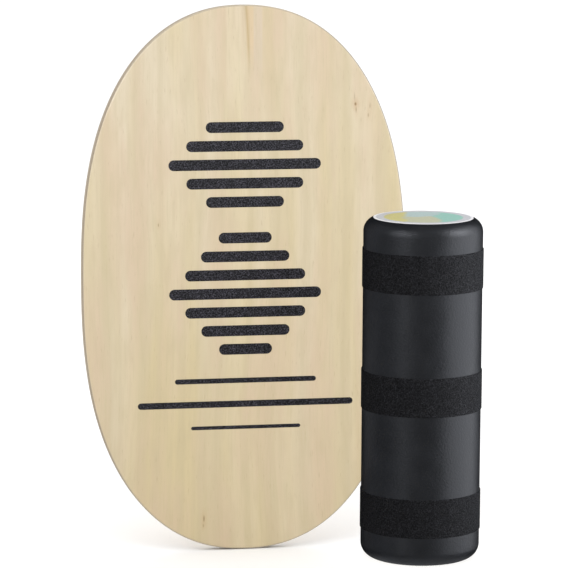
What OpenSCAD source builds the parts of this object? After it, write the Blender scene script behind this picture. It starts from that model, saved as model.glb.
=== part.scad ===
// Balance board: an oval plywood deck stood on end, with its hollow moulded roller standing
// upright in front of it. Millimetres, +Z up, origin on the floor at the middle of the whole
// arrangement. The deck's top face looks towards -Y.

/* [Deck] */
// Length of the oval deck
deck_l = 762; // [600:1:900]
// Width of the oval deck
deck_w = 457.2; // [380:0.1:520]
// Thickness of the plywood panel
deck_t = 19; // [17:0.5:24]
// Power of the oval's curve across the deck: 2 keeps the ends round, more flattens them
power_across = 2.2; // [2:0.05:2.8]
// Power of the oval's curve along the deck: 2 is an ellipse, more gives fuller sides
power_along = 2.5; // [2:0.05:3.2]
// Radius of the eased rim
rim_r = 3.2; // [1:0.1:3.3]
// Thickness of each outer veneer
veneer_t = 0.9; // [0.5:0.1:1]
// Thickness of the gritty print on the top face
print_t = 0.3; // [0.2:0.1:0.6]

/* [Roller stops] */
// Length of each stop strip across the underside
stop_l = 230; // [150:1:260]
// Width of each stop strip
stop_w = 25; // [20:1:32]
// Height of each stop strip
stop_t = 12; // [9:1:16]
// Distance from the deck's end to a stop's centre line
stop_from_end = 75; // [60:1:120]
// Spacing of the screws along a stop
screw_pitch = 85; // [50:1:90]
// Length of each screw
screw_l = 25; // [22:1:27]

/* [Roller] */
// Diameter of the roller's shell
roller_d = 165.1; // [140:0.1:180]
// Length of the roller
roller_h = 476; // [400:1:520]
// Wall thickness of the moulding
wall = 4.5; // [3:0.5:8]
// Radius of the shoulder round the label end
shoulder_r = 20; // [14:1:30]
// How far the shoulder reaches in from the wall to the flat top
shoulder_w = 13.5; // [8:0.5:13.5]
// Radius of the shoulder round the base end
base_round = 20; // [8:1:30]
// Width of each grip band
band_w = 54; // [30:1:70]
// Thickness of each grip band
band_t = 1.3; // [0.8:0.1:3]
// Distance from a roller end to the near edge of its end band
band_from_end = 42; // [30:1:60]
// Radius of the end label
label_r = 69; // [40:1:69]

/* [Arrangement] */
// Sideways place of the deck's foot from the roller's axis
foot_x = -242; // [-260:1:-200]
// Place of the deck's foot behind the roller's axis
foot_y = 30; // [30:1:60]
// Backward lean of the deck in degrees
lean = 2.5; // [1:0.1:3]
// Turn of the deck about the vertical in degrees
turn = 11; // [8:0.5:15]

/* [Hidden] */
$fn = 96;
half_w = deck_w / 2;
half_l = deck_l / 2;
outline_points = 180;
core_plies = 7;
ply_t = (deck_t - 2 * veneer_t) / core_plies;
glue_t = 0.02;
label_t = 0.3;

// Countersunk wood screw
screw_head_r = 4.2;
screw_head_h = 2.7;
screw_r = 2.1;
screw_point_h = 4;
recess_w = 1.2;
recess_l = 5;
recess_depth = 1.6;

// Vent in the roller's base end, with its plug
vent_r = 6;
plug_flange_r = 9;
plug_flange_t = 1.6;
plug_seat_depth = 2.2;
plug_l = 9;

// Gritty print: two stacks of bars and three thin lines, as [length, thickness, place along the deck]
bar_w = 15;
bar_pitch = 26;
upper_bars = [110, 165, 215, 165, 110];
upper_y = 160;
lower_bars = [75, 125, 170, 215, 170, 125, 75];
lower_y = -20;
lines = [[200, 7, -142], [305, 9, -175], [155, 5, -208]];

// How far the rim is drawn in at height z of the panel
function rim_inset(z) =
    let (d = min(z, deck_t - z))
    d >= rim_r ? 0 : rim_r - sqrt(rim_r * rim_r - pow(rim_r - d, 2));

// The deck's outline, a superellipse with its own power each way, drawn in by inset. It starts
// half a step round, so the foot stands on a short flat and not on a point
function signed_power(v, p) = sign(v) * pow(abs(v), p);
function outline(inset) =
    [for (i = [0 : outline_points - 1])
        let (t = (i + 0.5) * 360 / outline_points)
        [
            (half_w - inset) * signed_power(cos(t), 2 / power_across),
            (half_l - inset) * signed_power(sin(t), 2 / power_along)
        ]];

// The deck's own axes in the arrangement: across, along and out of its top face
across = [cos(turn), sin(turn), 0];
along = [-sin(turn) * sin(lean), cos(turn) * sin(lean), cos(lean)];
out = [sin(turn) * cos(lean), -cos(turn) * cos(lean), sin(lean)];

// How far the panel and its stops reach from the panel's middle in direction w
layer_edges = [for (k = [0 : core_plies]) veneer_t + k * ply_t];
function panel_reach(w) =
    max([for (z = concat([0, deck_t], layer_edges), point = outline(rim_inset(z)))
        point.x * (w * across) + point.y * (w * along) + (z - deck_t / 2) * (w * out)]);
function stop_reach(w) =
    abs(w * across) * stop_l / 2 + abs(w * along) * (half_l - stop_from_end + stop_w / 2)
    - (deck_t / 2 + stop_t) * (w * out);
function deck_reach(w) = max(panel_reach(w), stop_reach(w));

// Middle of the panel, and the box round everything, seen from the roller's axis
panel_x = foot_x + half_l * along.x - deck_t / 2 * out.x;
panel_y = foot_y + half_l * along.y - deck_t / 2 * out.y;
panel_z = deck_reach([0, 0, -1]);
roller_reach = roller_d / 2 + band_t;
box_min_x = min(panel_x - deck_reach([-1, 0, 0]), -roller_reach);
box_max_x = max(panel_x + deck_reach([1, 0, 0]), roller_reach);
box_min_y = min(panel_y - deck_reach([0, -1, 0]), -roller_reach);
box_max_y = max(panel_y + deck_reach([0, 1, 0]), roller_reach);
roller_x = -(box_min_x + box_max_x) / 2;
roller_y = -(box_min_y + box_max_y) / 2;

// Places a piece drawn on the lying deck: X across, Y along, Z up from the underside
module on_deck() {
    translate([roller_x + panel_x, roller_y + panel_y, panel_z])
        rotate([90 - lean, 0, turn])
            translate([0, 0, -deck_t / 2])
                children();
}

// Places a piece drawn about the roller's own axis, with its base end at Z = 0
module on_roller() {
    translate([roller_x, roller_y, 0])
        children();
}

module oval(inset) {
    polygon(outline(inset));
}

// One layer of the panel, from height z0 to z1, with its share of the eased rim
module layer(z0, z1) {
    i0 = rim_inset(z0);
    i1 = rim_inset(z1);
    difference() {
        translate([0, 0, z0])
            if (i0 == i1)
                linear_extrude(height = z1 - z0) oval(i0);
            else
                linear_extrude(
                    height = z1 - z0, slices = 1,
                    scale = [(half_w - i1) / (half_w - i0), (half_l - i1) / (half_l - i0)]
                ) oval(i0);
        stop_screw_places() screw_blank();
    }
}

// Core plies are numbered from the top face down, each a glue line clear of the next layer
module core_ply(k) {
    top = deck_t - veneer_t - (k - 1) * ply_t;
    color(k % 2 == 1 ? "peru" : "burlywood")
        on_deck() layer(top - ply_t + glue_t, top);
}

module face_veneer() {
    color("wheat") on_deck() layer(deck_t - veneer_t + glue_t, deck_t);
}

module back_veneer() {
    color("wheat") on_deck() layer(0, veneer_t);
}

module round_bar(l, w) {
    square([l - w, w], center = true);
    for (side = [-1, 1])
        translate([side * (l - w) / 2, 0]) circle(d = w);
}

module bar_stack(lengths, y) {
    for (i = [0 : len(lengths) - 1])
        translate([0, y + (i - (len(lengths) - 1) / 2) * bar_pitch])
            round_bar(lengths[i], bar_w);
}

module grip_print() {
    color("black") on_deck()
        translate([0, 0, deck_t])
            linear_extrude(height = print_t) {
                bar_stack(upper_bars, upper_y);
                bar_stack(lower_bars, lower_y);
                for (l = lines)
                    translate([0, l[2]]) round_bar(l[0], l[1]);
            }
}

module stop_screw_places() {
    for (end = [-1, 1], k = [-1 : 1])
        translate([k * screw_pitch, end * (half_l - stop_from_end), -stop_t])
            children();
}

// Countersunk screw, head down at Z = 0 and point up
module screw_blank() {
    rotate_extrude()
        polygon([
            [0, 0], [screw_head_r, 0], [screw_r, screw_head_h],
            [screw_r, screw_l - screw_point_h], [0, screw_l]
        ]);
}

module stop_screws() {
    color("silver") on_deck()
        stop_screw_places()
            difference() {
                screw_blank();
                for (a = [0, 90])
                    rotate([0, 0, a])
                        translate([-recess_l / 2, -recess_w / 2, -1])
                            cube([recess_l, recess_w, recess_depth + 1]);
            }
}

// Strip across the underside; end is 1 at the head and -1 at the foot
module roller_stop(end) {
    color("tan") on_deck()
        difference() {
            translate([0, end * (half_l - stop_from_end), -stop_t])
                linear_extrude(height = stop_t) round_bar(stop_l, stop_w);
            stop_screw_places() screw_blank();
        }
}

// Half section of a solid with rounded ends, from height z0 to z1. The flat top cuts the
// top corner's round at top_w in from the wall.
module rounded_half(r, z0, z1, base_corner, top_corner, top_w) {
    drop = sqrt(pow(top_corner, 2) - pow(top_corner - top_w, 2));
    middle = (z0 + z1) / 2;
    translate([0, z0]) square([r - base_corner, middle - z0]);
    translate([0, middle]) square([r - top_w, z1 - middle]);
    translate([0, z0 + base_corner]) square([r, z1 - drop - z0 - base_corner]);
    translate([r - base_corner, z0 + base_corner]) circle(r = base_corner);
    intersection() {
        translate([r - top_corner, z1 - drop]) circle(r = top_corner);
        translate([0, middle]) square([r, z1 - middle]);
    }
}

module roller_shell() {
    color("dimgray") on_roller()
        difference() {
            rotate_extrude()
                rounded_half(roller_d / 2, 0, roller_h, base_round, shoulder_r, shoulder_w);
            rotate_extrude()
                rounded_half(
                    roller_d / 2 - wall, wall, roller_h - wall,
                    base_round - wall, shoulder_r - wall, shoulder_r - wall
                );
            translate([0, 0, -1]) cylinder(r = vent_r, h = wall + 2);
            translate([0, 0, -1]) cylinder(r = plug_flange_r, h = plug_seat_depth + 1);
        }
}

module vent_plug() {
    color("black") on_roller() {
        translate([0, 0, plug_seat_depth - plug_flange_t])
            cylinder(r = plug_flange_r, h = plug_flange_t);
        translate([0, 0, plug_seat_depth])
            cylinder(r = vent_r, h = plug_l - plug_seat_depth);
    }
}

module grip_band(z) {
    color("black") on_roller()
        translate([0, 0, z])
            difference() {
                cylinder(r = roller_d / 2 + band_t, h = band_w);
                translate([0, 0, -1]) cylinder(r = roller_d / 2, h = band_w + 2);
            }
}

module grip_band_base() {
    grip_band(band_from_end);
}

module grip_band_middle() {
    grip_band((roller_h - band_w) / 2);
}

module grip_band_top() {
    grip_band(roller_h - band_from_end - band_w);
}

module end_label() {
    color("lightsteelblue") on_roller()
        translate([0, 0, roller_h]) cylinder(r = label_r, h = label_t);
}

grip_print();
face_veneer();
core_ply(1);  // core_ply_1
core_ply(2);  // core_ply_2
core_ply(3);  // core_ply_3
core_ply(4);  // core_ply_4
core_ply(5);  // core_ply_5
core_ply(6);  // core_ply_6
core_ply(7);  // core_ply_7
back_veneer();
roller_stop(1);  // roller_stop_head
roller_stop(-1);  // roller_stop_foot
stop_screws();
roller_shell();
vent_plug();
grip_band_base();
grip_band_middle();
grip_band_top();
end_label();
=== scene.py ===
"""Looks for the balance board: an oval plywood deck stood on end behind its moulded roller."""

import math

import bmesh
import bpy
from mathutils import Matrix, Vector, noise


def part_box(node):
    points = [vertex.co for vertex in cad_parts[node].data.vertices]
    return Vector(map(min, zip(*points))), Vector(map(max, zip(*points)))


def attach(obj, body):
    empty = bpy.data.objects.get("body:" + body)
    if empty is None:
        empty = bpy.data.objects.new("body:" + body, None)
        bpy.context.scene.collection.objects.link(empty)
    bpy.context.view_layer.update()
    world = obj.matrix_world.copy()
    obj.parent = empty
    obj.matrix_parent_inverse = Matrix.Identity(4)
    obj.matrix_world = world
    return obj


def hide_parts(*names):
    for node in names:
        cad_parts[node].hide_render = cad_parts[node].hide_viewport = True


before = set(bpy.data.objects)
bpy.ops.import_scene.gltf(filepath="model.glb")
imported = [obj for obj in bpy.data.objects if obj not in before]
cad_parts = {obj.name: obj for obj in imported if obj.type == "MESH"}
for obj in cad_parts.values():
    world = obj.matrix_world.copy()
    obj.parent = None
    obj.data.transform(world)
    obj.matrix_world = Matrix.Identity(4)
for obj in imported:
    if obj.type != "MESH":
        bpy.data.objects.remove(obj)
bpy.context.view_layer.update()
MM = 0.001

# Driving dimensions, as in the CAD source, in metres and degrees
DECK_L = 762 * MM
DECK_W = 457.2 * MM
DECK_T = 19 * MM
POWER_ACROSS = 2.2
POWER_ALONG = 2.5
RIM_R = 3.2 * MM
VENEER_T = 0.9 * MM
GLUE_T = 0.02 * MM
CORE_PLIES = 7
TURN = 11
LEAN = 2.5
STOP_L = 230 * MM
STOP_W = 25 * MM
STOP_T = 12 * MM
STOP_FROM_END = 75 * MM
SCREW_PITCH = 85 * MM
WALL = 4.5 * MM
SHOULDER_R = 20 * MM
SHOULDER_W = 13.5 * MM
BASE_ROUND = 20 * MM
VENT_R = 6 * MM
PLUG_FLANGE_R = 9 * MM
PLUG_FLANGE_T = 1.6 * MM
PLUG_SEAT = 2.2 * MM
PLUG_L = 9 * MM
PRINT_T = 0.3 * MM
BAR_W = 15 * MM
BAR_PITCH = 26 * MM

# The print in millimetres: bar lengths and the middle of each stack, and three thin lines as
# (length, thickness, place along the deck)
UPPER_BARS = [110, 165, 215, 165, 110]
UPPER_Y = 160
LOWER_BARS = [75, 125, 170, 215, 170, 125, 75]
LOWER_Y = -20
LINES = [(200, 7, -142), (305, 9, -175), (155, 5, -208)]

# Sizes that only the looks have
RAGGED = 0.12 * MM  # unevenness of the edges of the print and of the bands
STOP_EASE = 1.5 * MM
SINK_R, SINK_POINT_R = 5.7 * MM, 1.9 * MM
SINK_RISE, SINK_DEPTH = 1 * MM, 2.9 * MM  # the countersink's cone starts above the stop's face
DIMPLE_R, DIMPLE_H = 3 * MM, 0.3 * MM
BAND_GAP = 0.02 * MM
BAND_EASE = 0.5 * MM
BAND_GRAIN = 0.14 * MM
SEAM_TURN, SEAM_HALF_WIDTH = 96, 0.5  # degrees round the band: the lap seam is on the far side
SEAM_DEPTH = 0.55 * MM

# How finely the meshes are drawn
OUTLINE_POINTS = 360
ROLLER_SEGMENTS = 192
BAND_SEGMENTS = 384
GRIT_STEP = 1.1 * MM
CAP_BORDER = 6 * MM  # flat faces inside a layer's eased rim, so that its caps shade flat

PLACE = "place_on_part"  # each vertex's place in its own part's frame, which the materials read
COOL = (0.95, 0.98, 1.05)  # tint of the lamps that only make reflections
FLOOR_HALF = 400.0  # metres, so that the floor meets the white world far away

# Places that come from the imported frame
ply_low, ply_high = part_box("core_ply_4")
deck_centre = (ply_low + ply_high) / 2
shell_low, shell_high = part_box("roller_shell")
roller_axis = Vector(((shell_low.x + shell_high.x) / 2, (shell_low.y + shell_high.y) / 2, 0))
ROLLER_R = (shell_high.x - shell_low.x) / 2
ROLLER_H = shell_high.z
label_low, label_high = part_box("end_label")
LABEL_R = (label_high.x - label_low.x) / 2
LABEL_T = label_high.z - label_low.z
deck_matrix = (
    Matrix.Translation(deck_centre)
    @ Matrix.Rotation(math.radians(TURN), 4, "Z")
    @ Matrix.Rotation(math.radians(90 - LEAN), 4, "X")
)
roller_matrix = Matrix.Translation(roller_axis)


# ---------------------------------------------------------------- shader helpers

class Shader:
    """A new node material with a Principled shader, and short calls that add nodes to it.

    coords is the place on the part that each mesh here stores, or the object's own on a CAD node.
    """

    def __init__(self, name, cad_node=False, **settings):
        self.material = bpy.data.materials.new(name)
        self.material.use_nodes = True
        self.tree = self.material.node_tree
        self.bsdf = self.tree.nodes["Principled BSDF"]
        for socket, value in settings.items():
            self.bsdf.inputs[socket.replace("_", " ")].default_value = value
        if cad_node:
            self.coords = self.tree.nodes.new("ShaderNodeTexCoord").outputs["Object"]
        else:
            place = self.tree.nodes.new("ShaderNodeAttribute")
            place.attribute_name = PLACE
            self.coords = place.outputs["Vector"]

    def feed(self, socket, value):
        """Links value to socket if it is a socket, or sets it."""
        if isinstance(value, bpy.types.NodeSocket):
            self.tree.links.new(value, socket)
        else:
            socket.default_value = value

    def maths(self, operation, a, b=0.0):
        """One sum on two numbers, or on the first alone."""
        node = self.tree.nodes.new("ShaderNodeMath")
        node.operation = operation
        for socket, value in zip(node.inputs, (a, b)):
            self.feed(socket, value)
        return node.outputs[0]

    def parts(self, vector):
        """The vector's x, y and z."""
        node = self.tree.nodes.new("ShaderNodeSeparateXYZ")
        self.feed(node.inputs[0], vector)
        return node.outputs

    def vector(self, x, y, z):
        """A vector from three numbers."""
        node = self.tree.nodes.new("ShaderNodeCombineXYZ")
        for socket, value in zip(node.inputs, (x, y, z)):
            self.feed(socket, value)
        return node.outputs[0]

    def stretched(self, scale, offset=(0, 0, 0), vector=None):
        """The vector, or the place on the part, scaled and moved."""
        node = self.tree.nodes.new("ShaderNodeMapping")
        self.feed(node.inputs["Vector"], vector or self.coords)
        node.inputs["Scale"].default_value = scale
        node.inputs["Location"].default_value = offset
        return node.outputs[0]

    def noise(self, vector, scale=1.0, detail=2.0, roughness=0.5, distortion=0.0):
        """Cloudy noise from 0 to 1."""
        node = self.tree.nodes.new("ShaderNodeTexNoise")
        self.feed(node.inputs["Vector"], vector)
        node.inputs["Scale"].default_value = scale
        node.inputs["Detail"].default_value = detail
        node.inputs["Roughness"].default_value = roughness
        node.inputs["Distortion"].default_value = distortion
        return node.outputs["Fac"]

    def ramp(self, factor, *stops):
        """Maps factor through (place, grey or colour) stops."""
        node = self.tree.nodes.new("ShaderNodeValToRGB")
        elements = node.color_ramp.elements
        while len(elements) < len(stops):
            elements.new(1.0)
        for element, (place, value) in zip(elements, stops):
            element.position = place
            element.color = (value,) * 3 + (1,) if isinstance(value, (int, float)) else (*value, 1)
        self.feed(node.inputs[0], factor)
        return node.outputs[0]

    def mix(self, factor, a, b, blend="MIX"):
        """Colour a where factor is 0, blended with b where it is 1."""
        node = self.tree.nodes.new("ShaderNodeMix")
        node.data_type = "RGBA"
        node.blend_type = blend
        self.feed(node.inputs[0], factor)
        for socket, value in ((node.inputs[6], a), (node.inputs[7], b)):
            self.feed(socket, value if isinstance(value, bpy.types.NodeSocket) else (*value, 1))
        return node.outputs[2]

    def bump(self, height, distance, strength):
        """The normal over fine relief, where height 1 stands distance proud."""
        node = self.tree.nodes.new("ShaderNodeBump")
        node.inputs["Strength"].default_value = strength
        node.inputs["Distance"].default_value = distance
        self.feed(node.inputs["Height"], height)
        return node.outputs[0]

    def finish(self, **sockets):
        """Feeds the shader's sockets and returns the material."""
        for socket, value in sockets.items():
            self.feed(self.bsdf.inputs[socket.replace("_", " ")], value)
        return self.material


def linear(*rgb):
    """Screen colour, 0 to 255, as the linear colour that a shader takes."""
    return tuple(
        (v / 255) / 12.92 if v / 255 <= 0.04045 else ((v / 255 + 0.055) / 1.055) ** 2.4 for v in rgb
    )


# ---------------------------------------------------------------- materials

RIM_GREY = linear(176, 165, 146)  # the veneers where the eased rim wears through them


def spot(s, x, y, width, height, softness=0.0):
    """1 inside an upright ellipse on the deck's face, fading to 0 at its edge."""
    px, py, _ = s.parts(s.coords)
    u = s.maths("DIVIDE", s.maths("SUBTRACT", px, x), width)
    v = s.maths("DIVIDE", s.maths("SUBTRACT", py, y), height)
    reach = s.maths("SQRT", s.maths("ADD", s.maths("MULTIPLY", u, u), s.maths("MULTIPLY", v, v)))
    uneven = 0.7
    wobble = s.maths("MULTIPLY", s.noise(s.stretched((300, 90, 1)), detail=2), uneven)
    reach = s.maths("ADD", reach, s.maths("SUBTRACT", wobble, uneven / 2))
    return s.ramp(reach, (softness, 1.0), (1.0, 0.0))


def veneer(name, pale, warm, pink, grey, pore, foot, seed, knots=(), streaks=(), bands=()):
    """Pale rotary-cut veneer under clear satin lacquer, with its grain along the deck.

    The colour is multiplied by foot towards the foot end, a painted shade that makes the deck
    darker towards its foot. In metres from the deck's middle, a knot is (x, y, half width, half
    length, strength), a brown streak is (x, bend, start, end, half width), and a band is (x, half
    width, start, end, tone, strength).
    """
    streak_brown = linear(168, 140, 84)
    knot_halo, knot_heart = linear(186, 148, 100), linear(122, 94, 54)
    s = Shader(name, Roughness=0.42, Coat_Weight=0.12, Coat_Roughness=0.3)
    px, py, pz = s.parts(s.coords)
    sway = s.noise(s.stretched((3.5, 1.6, 1), (seed, 0, 0)), detail=2)
    bent = s.vector(s.maths("ADD", px, s.maths("MULTIPLY", sway, 0.045)), py, seed)
    broad = s.noise(s.stretched((15, 1.1, 1), vector=bent), detail=3, roughness=0.5, distortion=0.3)
    stripes = s.noise(s.stretched((38, 0.5, 1), (seed, 0, seed), bent), detail=2, roughness=0.6)
    hue = s.noise(s.stretched((26, 4, 1), (0, seed, 0), bent), detail=3, roughness=0.6)
    blotches = s.noise(s.stretched((75, 16, 1), (seed, seed, 0), bent), detail=2, roughness=0.6)
    fine = s.noise(s.stretched((420, 14, 1), (seed, 0, 0), bent), detail=2, roughness=0.6)
    dashes = s.noise(s.stretched((650, 70, 1), (0, 0, seed), bent), detail=1)
    colour = s.mix(s.ramp(broad, (0.38, 0.0), (0.62, 1.0)), pale, warm)
    colour = s.mix(s.ramp(stripes, (0.42, 0.0), (0.62, 0.5)), colour, grey)
    colour = s.mix(s.ramp(hue, (0.42, 0.0), (0.66, 0.8)), colour, pink)
    for x, half, start, end, tone, strength in bands:
        across = s.maths("DIVIDE", s.maths("ABSOLUTE", s.maths("SUBTRACT", px, x)), half)
        along = s.maths("DIVIDE", s.maths("SUBTRACT", py, start), end - start)
        band = s.maths("MULTIPLY", s.ramp(across, (0.7, strength), (1.0, 0.0)),
                       s.ramp(along, (0.0, 0.0), (0.6, 1.0)))
        colour = s.mix(band, colour, tone)
    colour = s.mix(s.ramp(blotches, (0.45, 0.0), (0.75, 0.4)), colour, grey)
    colour = s.mix(s.ramp(fine, (0.5, 0.0), (0.8, 0.42)), colour, grey)
    colour = s.mix(s.ramp(dashes, (0.66, 0.0), (0.8, 0.4)), colour, pore)
    for x, bend, start, end, width in streaks:
        along = s.maths("DIVIDE", s.maths("SUBTRACT", py, start), end - start)
        middle = s.maths("ADD", x, s.maths("MULTIPLY", s.maths("MULTIPLY", along, along), bend))
        reach = s.maths("MULTIPLY", s.maths("ADD", along, 0.35), width)
        off = s.maths("DIVIDE", s.maths("ABSOLUTE", s.maths("SUBTRACT", px, middle)), reach)
        line = s.ramp(off, (0.0, 1.0), (0.35, 0.45), (1.0, 0.0))
        ends = s.ramp(along, (0.0, 0.0), (0.3, 0.8), (0.85, 1.0), (1.0, 0.0))
        line = s.maths("MULTIPLY", s.maths("MULTIPLY", line, ends), 0.55)
        colour = s.mix(line, colour, streak_brown)
    for x, y, width, length, strength in knots:
        halo = s.maths("MULTIPLY", spot(s, x, y, width * 3.4, length * 3.2), strength * 0.4)
        colour = s.mix(halo, colour, knot_halo)
        heart = s.maths("MULTIPLY", spot(s, x, y, width, length, 0.2), strength)
        colour = s.mix(heart, colour, knot_heart)
    # Painted shade: the colour is darker towards the foot end, multiplied by foot there and fading out
    # 83% of the way to the head
    painted_foot_shade = s.ramp(s.maths("ADD", s.maths("DIVIDE", py, DECK_L), 0.5), (0.0, 1.0), (0.83, 0.0))
    colour = s.mix(painted_foot_shade, colour, foot, "MULTIPLY")
    eased = s.maths("DIVIDE", s.maths("SUBTRACT", DECK_T / 2, s.maths("ABSOLUTE", pz)), VENEER_T)
    worn = s.ramp(s.maths("ADD", eased, s.maths("MULTIPLY", fine, 0.2)), (0.35, 0.0), (0.7, 0.85))
    colour = s.mix(worn, colour, RIM_GREY)
    relief = s.maths("ADD", s.maths("MULTIPLY", fine, 0.6), s.maths("MULTIPLY", dashes, 0.4))
    rough = s.maths("ADD", s.maths("MULTIPLY", fine, 0.16), 0.36)
    return s.finish(Base_Color=colour, Roughness=rough, Normal=s.bump(relief, 0.06 * MM, 0.5))


def core_ply(name, along_deck):
    """Core ply as its sawn edge shows it: darker end grain where the grain runs out of the rim.

    The rim faces along the outline's slope, which the two powers give at each place.
    """
    s = Shader(name, Roughness=0.6)
    px, py, _ = s.parts(s.coords)
    slopes = []
    for value, half, power in ((px, DECK_W / 2, POWER_ACROSS), (py, DECK_L / 2, POWER_ALONG)):
        share = s.maths("POWER", s.maths("DIVIDE", s.maths("ABSOLUTE", value), half), power - 1)
        slopes.append(s.maths("MULTIPLY", share, power / half))
    across, along = slopes
    facing, other = (along, across) if along_deck else (across, along)
    end = s.ramp(s.maths("DIVIDE", facing, s.maths("ADD", facing, other)), (0.2, 0.0), (0.75, 1.0))
    pores = s.noise(s.coords, 1500, 2, 0.6)
    streaks = s.noise(s.stretched((60, 60, 900)), detail=3, roughness=0.6)
    tone = s.noise(s.coords, 14, 2)
    side = s.mix(s.ramp(streaks, (0.3, 0.0), (0.7, 1.0)), linear(212, 200, 178), linear(190, 177, 154))
    cut = s.mix(s.ramp(pores, (0.35, 0.0), (0.7, 1.0)), linear(172, 158, 138), linear(132, 118, 100))
    colour = s.mix(end, side, cut)
    colour = s.mix(s.ramp(tone, (0.3, 0.0), (0.75, 0.3)), colour, linear(156, 130, 102))
    return s.finish(Base_Color=colour, Normal=s.bump(pores, 0.1 * MM, 0.6))


def hardwood(name):
    """Planed hardwood strip, grain along the strip."""
    s = Shader(name, Roughness=0.45)
    rings = s.noise(s.stretched((5, 130, 130)), detail=4, roughness=0.6, distortion=0.6)
    fine = s.noise(s.stretched((30, 1100, 1100)), detail=2)
    colour = s.mix(s.ramp(rings, (0.3, 0.0), (0.7, 1.0)), linear(206, 168, 116), linear(170, 126, 78))
    colour = s.mix(s.ramp(fine, (0.55, 0.0), (0.8, 0.5)), colour, linear(140, 98, 58), "MULTIPLY")
    return s.finish(Base_Color=colour, Normal=s.bump(fine, 0.08 * MM, 0.5))


def grit(name, dark, light, speck_scale, relief, shine):
    """Black coating full of grit: dark and paler grains under a dull binder."""
    s = Shader(name, Roughness=0.85, Specular_IOR_Level=shine)
    grains = s.noise(s.coords, speck_scale, 3, 0.75)
    lumps = s.noise(s.coords, speck_scale * 0.32, 2, 0.6)
    colour = s.mix(s.ramp(grains, (0.44, 0.0), (0.66, 1.0)), dark, light)
    colour = s.mix(s.ramp(lumps, (0.35, 0.55), (0.65, 0.0)), colour, dark)
    glint = s.ramp(grains, (0.4, 0.95), (0.7, 0.45))
    return s.finish(Base_Color=colour, Roughness=glint, Normal=s.bump(grains, relief, 0.9))


def moulded(name, colour_low, colour_high, rough, grain_scale):
    """Satin moulded plastic with a fine cast grain and faint handling marks."""
    s = Shader(name, Roughness=rough, IOR=1.5)
    grain = s.noise(s.coords, grain_scale, 3, 0.6)
    clouds = s.noise(s.coords, 26, 3, 0.55)
    scuffs = s.noise(s.stretched((500, 500, 26)), detail=2)
    colour = s.mix(s.ramp(clouds, (0.3, 0.0), (0.7, 1.0)), colour_low, colour_high)
    shine = s.maths("ADD", s.maths("MULTIPLY", clouds, 0.1), rough - 0.15)
    shine = s.maths("ADD", shine, s.maths("MULTIPLY", grain, 0.2))
    shine = s.maths("ADD", shine, s.ramp(scuffs, (0.62, 0.0), (0.8, 0.1)))
    return s.finish(Base_Color=colour, Roughness=shine, Normal=s.bump(grain, 0.5 * MM, 0.8))


def zinc(name):
    """Dull zinc plating with fine turning marks."""
    s = Shader(name, cad_node=True, Metallic=0.45, Roughness=0.4)
    marks = s.noise(s.coords, 2600, 2)
    colour = s.mix(s.ramp(marks, (0.3, 0.0), (0.7, 1.0)), linear(196, 194, 186), linear(160, 158, 152))
    rough = s.ramp(marks, (0.3, 0.26), (0.7, 0.44))
    return s.finish(Base_Color=colour, Roughness=rough, Normal=s.bump(marks, 0.02 * MM, 0.4))


def printed_label(name):
    """Generic round label: a white edge, a lilac-grey ring and four soft fields of colour."""
    s = Shader(name, Roughness=0.5, Specular_IOR_Level=0.3)
    px, py, _ = s.parts(s.coords)
    u = s.maths("DIVIDE", px, LABEL_R)
    v = s.maths("DIVIDE", py, LABEL_R)
    reach = s.maths("SQRT", s.maths("ADD", s.maths("MULTIPLY", u, u), s.maths("MULTIPLY", v, v)))
    bend = s.maths("MULTIPLY", s.maths("SUBTRACT", s.noise(s.coords, 22, 1), 0.5), 0.55)
    side = s.maths("ADD", u, bend)
    depth = s.maths("SUBTRACT", v, bend)
    cream, blue, teal = linear(194, 195, 168), linear(180, 199, 199), linear(152, 200, 188)
    yellow, lilac, white = linear(206, 198, 134), linear(200, 201, 206), linear(236, 236, 239)
    field = s.mix(s.ramp(depth, (0.02, 0.0), (0.10, 1.0)), cream, blue)
    field = s.mix(s.ramp(side, (0.22, 0.0), (0.30, 1.0)), field, teal)
    left = s.ramp(s.maths("MULTIPLY", side, -1.0), (0.34, 0.0), (0.42, 1.0))
    field = s.mix(left, field, yellow)
    ring = s.mix(s.ramp(reach, (0.78, 0.0), (0.80, 1.0)), field, lilac)
    at_edge = s.ramp(reach, (0.945, 0.0), (0.955, 1.0))
    plain = s.mix(at_edge, ring, white)
    dots = s.noise(s.coords, 620, 2, 0.7)
    inked = s.mix(s.ramp(dots, (0.5, 0.0), (0.72, 0.45)), plain, linear(136, 150, 150))
    return s.finish(Base_Color=s.mix(at_edge, inked, plain))


def paper_floor(name):
    """Plain pale studio paper with a hardly visible mottle."""
    s = Shader(name, Roughness=0.9, Specular_IOR_Level=0.0)
    mottle = s.noise(s.coords, 3, 2)
    return s.finish(Base_Color=s.mix(mottle, (0.94, 0.94, 0.94), (0.96, 0.96, 0.96)))


# ---------------------------------------------------------------- mesh helpers

def piece(name, bm, matrix, body, material, sharp=35, replaces=()):
    """Turns a bmesh in its part's own frame into a shown piece in place, riding on its body.

    Edges that turn by more than sharp degrees stay sharp. The roller's pieces give off no
    bounced light, so that the deck behind them stays pale.
    """
    bmesh.ops.recalc_face_normals(bm, faces=bm.faces)
    for face in bm.faces:
        face.smooth = True
    for edge in bm.edges:
        edge.smooth = edge.is_manifold and edge.calc_face_angle(0) < math.radians(sharp)
    mesh = bpy.data.meshes.new(name)
    bm.to_mesh(mesh)
    bm.free()
    place = mesh.attributes.new(PLACE, "FLOAT_VECTOR", "POINT")
    place.data.foreach_set("vector", [c for v in mesh.vertices for c in v.co])
    mesh.transform(matrix)
    mesh.materials.append(material)
    obj = bpy.data.objects.new(name, mesh)
    bpy.context.scene.collection.objects.link(obj)
    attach(obj, body)
    obj.visible_diffuse = body != "roller"
    if replaces:
        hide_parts(*replaces)
    return obj


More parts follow.
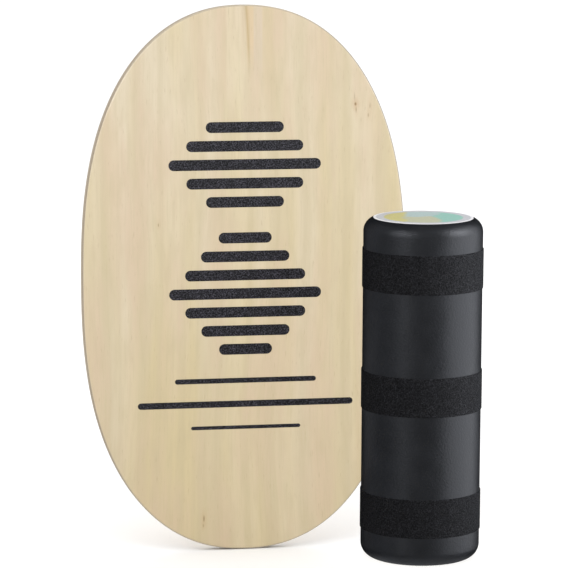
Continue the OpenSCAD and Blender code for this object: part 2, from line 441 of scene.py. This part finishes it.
def loft(rings, closed=False):
    """A bmesh of rings of points joined in order, with flat caps, or closed from last to first."""
    bm = bmesh.new()
    rows = [[bm.verts.new(p) for p in ring] for ring in rings]
    pairs = list(zip(rows, rows[1:])) + ([(rows[-1], rows[0])] if closed else [])
    for low, high in pairs:
        for i in range(len(low)):
            j = (i + 1) % len(low)
            bm.faces.new((low[i], low[j], high[j], high[i]))
    if not closed:
        bm.faces.new(list(reversed(rows[0])))
        bm.faces.new(rows[-1])
    return bm


def revolve(profile, segments):
    """A bmesh of a profile of (radius, height) points turned about Z; radius 0 ends in a pole."""
    bm = bmesh.new()
    on_axis = 1e-7
    rows = []
    for r, z in profile:
        if r < on_axis:
            rows.append([bm.verts.new((0, 0, z))])
        else:
            turns = [2 * math.pi * k / segments for k in range(segments)]
            rows.append([bm.verts.new((r * math.cos(t), r * math.sin(t), z)) for t in turns])
    for low, high in zip(rows, rows[1:]):
        for i in range(segments):
            j = (i + 1) % segments
            ring = [low[i % len(low)], low[j % len(low)], high[j % len(high)], high[i % len(high)]]
            corners = list(dict.fromkeys(ring))
            if len(corners) > 2:
                bm.faces.new(corners)
    return bm


def arc(centre_r, centre_z, radius, start, end, steps):
    """Profile points on a round, from angle start to end in degrees."""
    angles = [math.radians(start + (end - start) * k / steps) for k in range(steps + 1)]
    return [(centre_r + radius * math.cos(a), centre_z + radius * math.sin(a)) for a in angles]


def outline(inset, z):
    """The deck's outline, a superellipse with its own power each way, drawn in by inset."""
    ring = []
    for k in range(OUTLINE_POINTS):
        t = 2 * math.pi * (k + 0.5) / OUTLINE_POINTS
        c, s = math.cos(t), math.sin(t)
        x = (DECK_W / 2 - inset) * math.copysign(abs(c) ** (2 / POWER_ACROSS), c)
        y = (DECK_L / 2 - inset) * math.copysign(abs(s) ** (2 / POWER_ALONG), s)
        ring.append((x, y, z))
    return ring


def rim_inset(z):
    """How far the rim is drawn in at height z from the panel's middle."""
    d = DECK_T / 2 - abs(z)
    return 0.0 if d >= RIM_R else RIM_R - math.sqrt(RIM_R ** 2 - (RIM_R - d) ** 2)


# ---------------------------------------------------------------- deck

def layer_rings(z0, z1):
    """Rings of one layer of the panel from height z0 to z1, following the eased rim."""
    flat = DECK_T / 2 - RIM_R
    round_steps = [math.copysign(flat + RIM_R * math.sin(math.radians(a)), sign)
                   for sign in (-1, 1) for a in range(0, 91, 9)]
    heights = sorted({z0, z1, *(z for z in round_steps if z0 < z < z1)})
    rings = [outline(rim_inset(z), z) for z in heights]
    below, above = (outline(RIM_R + CAP_BORDER, z) for z in (z0, z1))
    return [below, *rings, above]


def deck_layer(name, z0, z1, material):
    """One layer of the panel, which the roller doesn't mirror."""
    bm = loft(layer_rings(z0, z1))
    layer = piece(f"{name}_finished", bm, deck_matrix, "deck", material, replaces=(name,))
    layer.visible_glossy = False


def build_panel():
    """Face veneer, seven core plies with their grain crossing, and back veneer."""
    half = DECK_T / 2
    ply_t = (DECK_T - 2 * VENEER_T) / CORE_PLIES
    face = veneer(
        "face_veneer_lacquered",
        pale=linear(217, 203, 177), warm=linear(211, 195, 156), pink=linear(211, 190, 163),
        # foot is painted shade: it darkens the face veneer towards the deck's foot end
        grey=linear(197, 182, 147), pore=linear(182, 161, 126), foot=(0.92, 0.90, 0.85), seed=3.1,
        knots=[
            (0.1570, 0.242, 0.0022, 0.0032, 0.90), (0.1578, 0.234, 0.0012, 0.0060, 0.50),
            (0.1555, 0.252, 0.0016, 0.0075, 0.28), (0.1775, 0.239, 0.0015, 0.0056, 0.38),
            (0.1750, 0.226, 0.0014, 0.0040, 0.38), (-0.122, 0.078, 0.0012, 0.0032, 0.45),
            (-0.060, -0.336, 0.0018, 0.0056, 0.60), (-0.061, -0.346, 0.0014, 0.0030, 0.35),
        ],
        streaks=[(0.0065, -0.0085, 0.28, 0.42, 0.0046)],
        bands=[
            (-0.0150, 0.0125, 0.20, 0.33, linear(220, 207, 179), 0.50),
            (0.0080, 0.0060, 0.29, 0.36, linear(216, 190, 152), 0.55),
            (0.0190, 0.0070, 0.27, 0.35, linear(208, 192, 172), 0.45),
            (0.0330, 0.0090, 0.22, 0.36, linear(208, 190, 152), 0.45),
        ],
    )
    back = veneer(
        "back_veneer_lacquered",
        pale=linear(218, 200, 165), warm=linear(210, 188, 148), pink=linear(214, 186, 152),
        # foot is painted shade: it darkens the back veneer towards the deck's foot end
        grey=linear(198, 176, 140), pore=linear(170, 142, 104), foot=(0.96, 0.95, 0.93), seed=8.7,
        knots=[(-0.09, 0.12, 0.004, 0.006, 0.8), (0.13, -0.2, 0.003, 0.005, 0.7)],
        streaks=[(0.05, 0.01, -0.3, -0.1, 0.003)],
    )
    cross = core_ply("core_ply_cross_grain", False)
    long = core_ply("core_ply_long_grain", True)
    deck_layer("face_veneer", half - VENEER_T + GLUE_T, half, face)
    for k in range(CORE_PLIES):
        top = half - VENEER_T - k * ply_t
        slot, material = ("core_ply_cross", cross) if k % 2 == 0 else ("core_ply_long", long)
        deck_layer(f"core_ply_{k + 1}", top - ply_t + GLUE_T, top, material)
    deck_layer("back_veneer", -half, -half + VENEER_T, back)


def grit_height(x, y):
    """Relief of the gritty print, from 0 to 1."""
    grain = noise.noise(Vector((x / 0.9, y / 0.9, 0.0)) / MM)
    lump = noise.noise(Vector((x / 2.6, y / 2.6, 5.0)) / MM)
    return min(1.0, max(0.0, 0.5 + 0.45 * grain + 0.3 * lump))


def print_bar(bm, length, width, y):
    """One round-ended bar of the print, as a grid with grit on top and a ragged edge."""
    r = width / 2
    straight = length / 2 - r
    ends = [straight + r * math.sin(math.radians(a)) for a in range(9, 82, 9)]
    columns = max(2, round(2 * straight / GRIT_STEP))
    middle = [-straight + 2 * straight * k / columns for k in range(columns + 1)]
    xs = [-x for x in reversed(ends)] + middle + ends
    rows = max(4, round(width / GRIT_STEP))
    base = DECK_T / 2
    grid = []
    for x in xs:
        over = max(0.0, abs(x) - straight)
        half_width = math.sqrt(max(0.0, r * r - over * over))
        half_width += RAGGED * noise.noise(Vector((x / (2 * MM), y / (2 * MM), 9.0)))
        column = []
        for j in range(rows + 1):
            off = half_width * (2 * j / rows - 1)
            rim = j in (0, rows) or x in (xs[0], xs[-1])
            height = PRINT_T * (0.35 if rim else 0.55 + 0.45 * grit_height(x, y + off))
            column.append(bm.verts.new((x, y + off, base + height)))
        grid.append(column)
    for a, b in zip(grid, grid[1:]):
        for j in range(rows):
            bm.faces.new((a[j], b[j], b[j + 1], a[j + 1]))
    edge = [c[0] for c in grid] + grid[-1][1:] + [c[-1] for c in reversed(grid[:-1])]
    edge += list(reversed(grid[0][1:-1]))
    foot = [bm.verts.new((v.co.x, v.co.y, base)) for v in edge]
    for i in range(len(edge)):
        j = (i + 1) % len(edge)
        bm.faces.new((edge[j], edge[i], foot[i], foot[j]))
    bm.faces.new(foot)


def build_print():
    """All the bars and lines of the print, as one piece."""
    bm = bmesh.new()
    for lengths, middle in ((UPPER_BARS, UPPER_Y), (LOWER_BARS, LOWER_Y)):
        for i, length in enumerate(lengths):
            y = middle * MM + (i - (len(lengths) - 1) / 2) * BAR_PITCH
            print_bar(bm, length * MM, BAR_W, y)
    for length, width, y in LINES:
        print_bar(bm, length * MM, width * MM, y * MM)
    gritty = grit("grip_print_grit", dark=linear(9, 8, 11), light=linear(80, 77, 89),
                  speck_scale=500, relief=0.4 * MM, shine=0.5)
    piece("grip_print_grit", bm, deck_matrix, "deck", gritty, replaces=("grip_print",))


def stop_outline(z, inset):
    """Round-ended outline of a stop strip at height z, drawn in by inset."""
    points = 24
    r = STOP_W / 2
    ring = []
    for sign in (1, -1):
        for k in range(points + 1):
            a = math.radians(-90 + 180 * k / points)
            x = STOP_L / 2 - r + (r - inset) * math.cos(a)
            ring.append((sign * x, sign * (r - inset) * math.sin(a), z))
    return ring


def scratch_object(bm):
    """A short-lived object for a cut."""
    bmesh.ops.recalc_face_normals(bm, faces=bm.faces)
    mesh = bpy.data.meshes.new("scratch")
    bm.to_mesh(mesh)
    bm.free()
    obj = bpy.data.objects.new("scratch", mesh)
    bpy.context.scene.collection.objects.link(obj)
    return obj


def cut(bm, tools):
    """The bmesh with the tools cut out of it."""
    blank = scratch_object(bm)
    used = [scratch_object(tool) for tool in tools]
    for tool in used:
        step = blank.modifiers.new("cut", "BOOLEAN")
        step.object = tool
        step.operation = "DIFFERENCE"
        step.solver = "EXACT"
    bpy.context.view_layer.update()
    graph = bpy.context.evaluated_depsgraph_get()
    finished = bpy.data.meshes.new_from_object(blank.evaluated_get(graph))
    for obj in (blank, *used):
        bpy.data.objects.remove(obj)
    result = bmesh.new()
    result.from_mesh(finished)
    return result


def build_stops():
    """Two hardwood strips with countersunk screw seats. The screws keep their CAD shape."""
    wood = hardwood("stop_hardwood")
    for name, end in (("roller_stop_head", 1), ("roller_stop_foot", -1)):
        rings = [stop_outline(0.0, 0.0)]
        for a in range(0, 91, 15):
            c, s = math.cos(math.radians(a)), math.sin(math.radians(a))
            rings.append(stop_outline(-(STOP_T - STOP_EASE) - STOP_EASE * s, STOP_EASE * (1 - c)))
        cone = [(0, -SINK_RISE), (SINK_R, -SINK_RISE), (SINK_POINT_R, SINK_DEPTH), (0, SINK_DEPTH)]
        sinks = []
        for k in (-1, 0, 1):
            sink = revolve(cone, 48)
            bmesh.ops.translate(sink, verts=sink.verts, vec=(k * SCREW_PITCH, 0, -STOP_T))
            sinks.append(sink)
        strip = cut(loft(rings), sinks)
        place = Vector((0, end * (DECK_L / 2 - STOP_FROM_END), -DECK_T / 2))
        bmesh.ops.translate(strip, verts=strip.verts, vec=place)
        piece(f"{name}_finished", strip, deck_matrix, "deck", wood, replaces=(name,))
    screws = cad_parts["stop_screws"]
    screws.data.materials.clear()
    screws.data.materials.append(zinc("screw_zinc"))


# ---------------------------------------------------------------- roller

def build_shell():
    """Hollow shell. The flat top cuts the shoulder's round off at cut_angle."""
    cut_angle = math.degrees(math.acos(1 - SHOULDER_W / SHOULDER_R))
    drop = SHOULDER_R * math.sin(math.radians(cut_angle))
    outer = [(0, ROLLER_H)]
    outer += arc(ROLLER_R - SHOULDER_R, ROLLER_H - drop, SHOULDER_R, cut_angle, 0, 14)
    outer += [(ROLLER_R, ROLLER_H * k / 8) for k in range(7, 0, -1)]
    outer += arc(ROLLER_R - BASE_ROUND, BASE_ROUND, BASE_ROUND, 0, -90, 16)
    chamfer = 0.4 * MM
    vent = [
        (PLUG_FLANGE_R + chamfer, 0), (PLUG_FLANGE_R, chamfer), (PLUG_FLANGE_R, PLUG_SEAT),
        (VENT_R, PLUG_SEAT), (VENT_R, WALL),
    ]
    inner_r = ROLLER_R - WALL
    inner = arc(inner_r - (BASE_ROUND - WALL), BASE_ROUND, BASE_ROUND - WALL, -90, 0, 10)
    inner += arc(inner_r - (SHOULDER_R - WALL), ROLLER_H - SHOULDER_R, SHOULDER_R - WALL, 0, 90, 10)
    bm = revolve([*outer, *vent, *inner, (0, ROLLER_H - WALL)], ROLLER_SEGMENTS)
    plastic = moulded("roller_shell_plastic", linear(26, 28, 32), linear(32, 34, 39),
                      rough=0.42, grain_scale=340)
    piece("roller_shell_moulded", bm, roller_matrix, "roller", plastic,
          sharp=50, replaces=("roller_shell",))


def build_plug():
    """Flanged plug with a shallow dimple in its face."""
    edge = 0.4 * MM
    face = PLUG_SEAT - PLUG_FLANGE_T
    profile = [(0, face + DIMPLE_H), (DIMPLE_R, face + DIMPLE_H), (DIMPLE_R + edge, face)]
    profile += arc(PLUG_FLANGE_R - 2 * edge, face + edge, edge, -90, 0, 4)
    profile += [(PLUG_FLANGE_R - edge, PLUG_SEAT), (VENT_R, PLUG_SEAT), (VENT_R, WALL)]
    profile += [(VENT_R - edge, PLUG_L), (0, PLUG_L)]
    plastic = moulded("vent_plug_plastic", linear(34, 34, 35), linear(42, 42, 43),
                      rough=0.5, grain_scale=1500)
    piece("vent_plug_moulded", revolve(profile, 48), roller_matrix, "roller", plastic,
          replaces=("vent_plug",))


def band_relief(turn, z, seed):
    """Relief of a grip band's grains, from -1 to 1."""
    grain_size = 1.5 * MM
    r = ROLLER_R / grain_size
    where = Vector((r * math.cos(turn), r * math.sin(turn), z / grain_size + seed))
    return noise.noise(where) + 0.5 * noise.noise(where * 2.3)


def band_profile(low_z, high_z, outer_r):
    """Closed profile of a band with eased edges, as (radius, height, whether it has the grain)."""
    sides = 40
    edge_r = outer_r - BAND_EASE - BAND_GRAIN
    skin = arc(edge_r, low_z + BAND_EASE, BAND_EASE, -90, 0, 3)
    skin += [(outer_r - BAND_GRAIN, low_z + BAND_EASE + (high_z - low_z - 2 * BAND_EASE) * k / sides)
             for k in range(1, sides)]
    skin += arc(edge_r, high_z - BAND_EASE, BAND_EASE, 0, 90, 3)
    inner_r = ROLLER_R + BAND_GAP
    return [(inner_r, low_z, False), *((r, z, True) for r, z in skin), (inner_r, high_z, False)]


def build_bands():
    """Three grip bands with grains in their mesh and a lap seam on the far side."""
    rubber = grit("grip_band_grain", dark=linear(6, 6, 9), light=linear(37, 37, 43),
                  speck_scale=560, relief=0.9 * MM, shine=0.34)
    for name in ("grip_band_base", "grip_band_middle", "grip_band_top"):
        low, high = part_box(name)
        rings = []
        for r, z, grained in band_profile(low.z, high.z, (high.x - low.x) / 2):
            ring = []
            for k in range(BAND_SEGMENTS):
                turn = 2 * math.pi * k / BAND_SEGMENTS
                reach = r
                if grained:
                    off_seam = (math.degrees(turn) - SEAM_TURN) / SEAM_HALF_WIDTH
                    grain = BAND_GRAIN * band_relief(turn, z, low.z / MM)
                    reach = r - SEAM_DEPTH * math.exp(-off_seam ** 2) + grain
                ragged = RAGGED * noise.noise(Vector((k * 0.35, low.z * 900, z * 30)))
                ring.append((reach * math.cos(turn), reach * math.sin(turn), z + ragged))
            rings.append(ring)
        piece(f"{name}_grain", loft(rings, closed=True), roller_matrix, "roller", rubber,
              sharp=60, replaces=(name,))


def build_label():
    """Thin round film on the roller's top end."""
    edge = 0.1 * MM
    top = ROLLER_H + LABEL_T
    profile = [(0, top), (LABEL_R * 0.5, top), (LABEL_R - 1.5 * MM, top)]
    profile += arc(LABEL_R - edge, top - edge, edge, 90, 0, 3)
    profile += [(LABEL_R, ROLLER_H), (0, ROLLER_H)]
    piece("end_label_printed", revolve(profile, 128), roller_matrix, "roller",
          printed_label("end_label_print"), replaces=("end_label",))


# ---------------------------------------------------------------- stage, lights and camera

def build_floor():
    """Plain pale floor, which isn't part of the object."""
    mesh = bpy.data.meshes.new("floor")
    turns = ((-1, -1), (1, -1), (1, 1), (-1, 1))
    corners = [(x * FLOOR_HALF, y * FLOOR_HALF, 0) for x, y in turns]
    mesh.from_pydata(corners, [], [(0, 1, 2, 3)])
    floor = bpy.data.objects.new("floor", mesh)
    floor.data.materials.append(paper_floor("floor_paper"))
    bpy.context.scene.collection.objects.link(floor)
    floor.visible_glossy = False


def aim(obj, place, target):
    """Puts a lamp at place, pointing at target."""
    obj.location = place
    obj.rotation_euler = (Vector(target) - Vector(place)).to_track_quat("-Z", "Y").to_euler()


def softbox(name, place, target, width, height, radiance, gloss_only=False):
    """A rectangular lamp that the camera doesn't see, for diffuse light or for reflections only."""
    light = bpy.data.lights.new(name, "AREA")
    light.shape = "RECTANGLE"
    light.size, light.size_y = width, height
    light.energy = radiance * math.pi * width * height
    light.color = COOL if gloss_only else (1, 1, 1)
    obj = bpy.data.objects.new(name, light)
    bpy.context.scene.collection.objects.link(obj)
    aim(obj, place, target)
    obj.visible_camera = False
    obj.visible_diffuse = not gloss_only
    obj.visible_glossy = gloss_only


def around_roller(azimuth, distance, height):
    """A place round the roller: azimuth 0 is towards the camera, 90 to the right."""
    a = math.radians(azimuth)
    offset = Vector((distance * math.sin(a), -distance * math.cos(a), height))
    return roller_axis + offset


def build_lights():
    """White world, sun and soft lamps for diffuse light, and lamps that only the gloss shows."""
    world = bpy.data.worlds.new("studio")
    bpy.context.scene.world = world
    world.use_nodes = True
    background = world.node_tree.nodes["Background"]
    background.inputs["Color"].default_value = (1, 1, 1, 1)
    background.inputs["Strength"].default_value = 1.0
    world.cycles_visibility.glossy = False
    sun = bpy.data.lights.new("overhead", "SUN")
    sun.energy = 0.6
    sun.angle = math.radians(60)
    overhead = bpy.data.objects.new("overhead", sun)
    bpy.context.scene.collection.objects.link(overhead)
    aim(overhead, (-0.45, -0.6, 1.0), (0, 0, 0))
    overhead.visible_glossy = False

    # name, place, target, width, height, radiance
    softbox("front_key", (0.1, -1.25, 1.75), (0, 0, 0.5), 0.9, 0.9, 1.35)
    softbox("back_fill", (1.0, 3.0, 2.2), (0, 0, 0.4), 1.6, 1.6, 2.2)
    # name, place as (azimuth, distance, height), height of the target, width, height, radiance
    gloss_lamps = [
        ("bank_right", (81, 0.5, 0.44), 0.44, 0.78, 1.14, 1.88),
        ("bank_left", (-36, 2.2, 0.1), 0.1, 0.55, 1.7, 1.26),
        ("glow_left", (-112, 0.7, 0.55), 0.55, 0.5, 1.3, 0.26),
        ("floor_glow", (0, 0, -0.25), 0, 0.6, 0.6, 0.4),
        ("hood_right", (73, 0.8, 0.78), ROLLER_H, 0.3, 0.3, 11.0),
        ("hood_left", (-42, 0.9, 0.88), ROLLER_H, 0.35, 0.35, 7.2),
    ]
    for name, place, target_z, *rest in gloss_lamps:
        softbox(name, around_roller(*place), around_roller(0, 0, target_z), *rest, gloss_only=True)


def build_camera():
    """A long lens looking a little down on the pair, as a packshot camera does.

    The focal length is in pixels of the square picture, which is picture_px wide.
    """
    focal_px, picture_px = 3616, 568
    pitch, roll = math.radians(8.9), math.radians(-0.35)
    left_of_roller, distance, height = 0.1913, 4.93, 1.154
    place = roller_axis + Vector((-left_of_roller, -distance, height))
    right = Vector((1, 0, 0))
    ahead = Vector((0, math.cos(pitch), -math.sin(pitch)))
    down = ahead.cross(right)
    rolled_right = math.cos(roll) * right + math.sin(roll) * down
    rolled_down = -math.sin(roll) * right + math.cos(roll) * down
    turned = Matrix((rolled_right, -rolled_down, -ahead)).transposed()
    data = bpy.data.cameras.new("camera")
    data.sensor_width = 36.0
    data.lens = focal_px / picture_px * data.sensor_width
    data.clip_end = 200
    camera = bpy.data.objects.new("camera", data)
    camera.matrix_world = Matrix.Translation(place) @ turned.to_4x4()
    bpy.context.scene.collection.objects.link(camera)
    bpy.context.scene.camera = camera


build_camera()
build_panel()
build_print()
build_stops()
build_shell()
build_plug()
build_bands()
build_label()
build_floor()
build_lights()
bpy.context.scene.view_settings.view_transform = "Standard"
